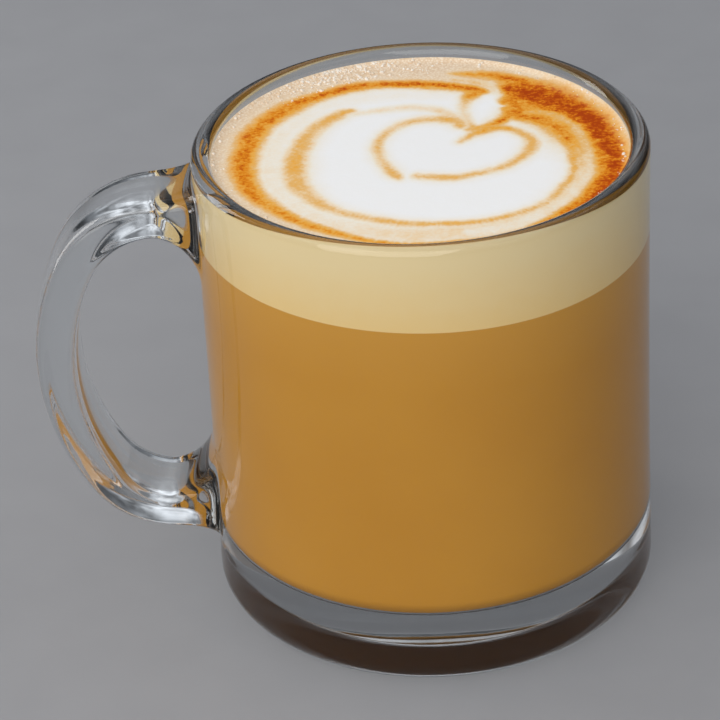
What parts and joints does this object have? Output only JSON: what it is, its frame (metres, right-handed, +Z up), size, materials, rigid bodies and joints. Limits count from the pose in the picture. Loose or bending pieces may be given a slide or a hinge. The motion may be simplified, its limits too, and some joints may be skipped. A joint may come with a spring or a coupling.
{
  "type": "latte",
  "caption": "Latte in a clear glass mug with a strap handle: milky coffee under a deep layer of milk foam, with a poured heart and swirls on top.",
  "frame": {"origin": "centre of the mug's base, on its axis and on the surface it stands on", "axes": "+Z up along the mug's axis, -X towards the handle, -Y towards the side that is seen from the front"},
  "size_m": [0.1183, 0.086, 0.095],
  "materials": {
    "glass": "clear pressed glass, fire polished",
    "coffee": "opaque milky coffee seen through glass",
    "foam": "fine milk foam, cream to orange-brown on top"
  },
  "bodies": {
    "root": {"mug": "glass", "coffee": "coffee", "foam": "foam"}
  },
  "joints": []
}
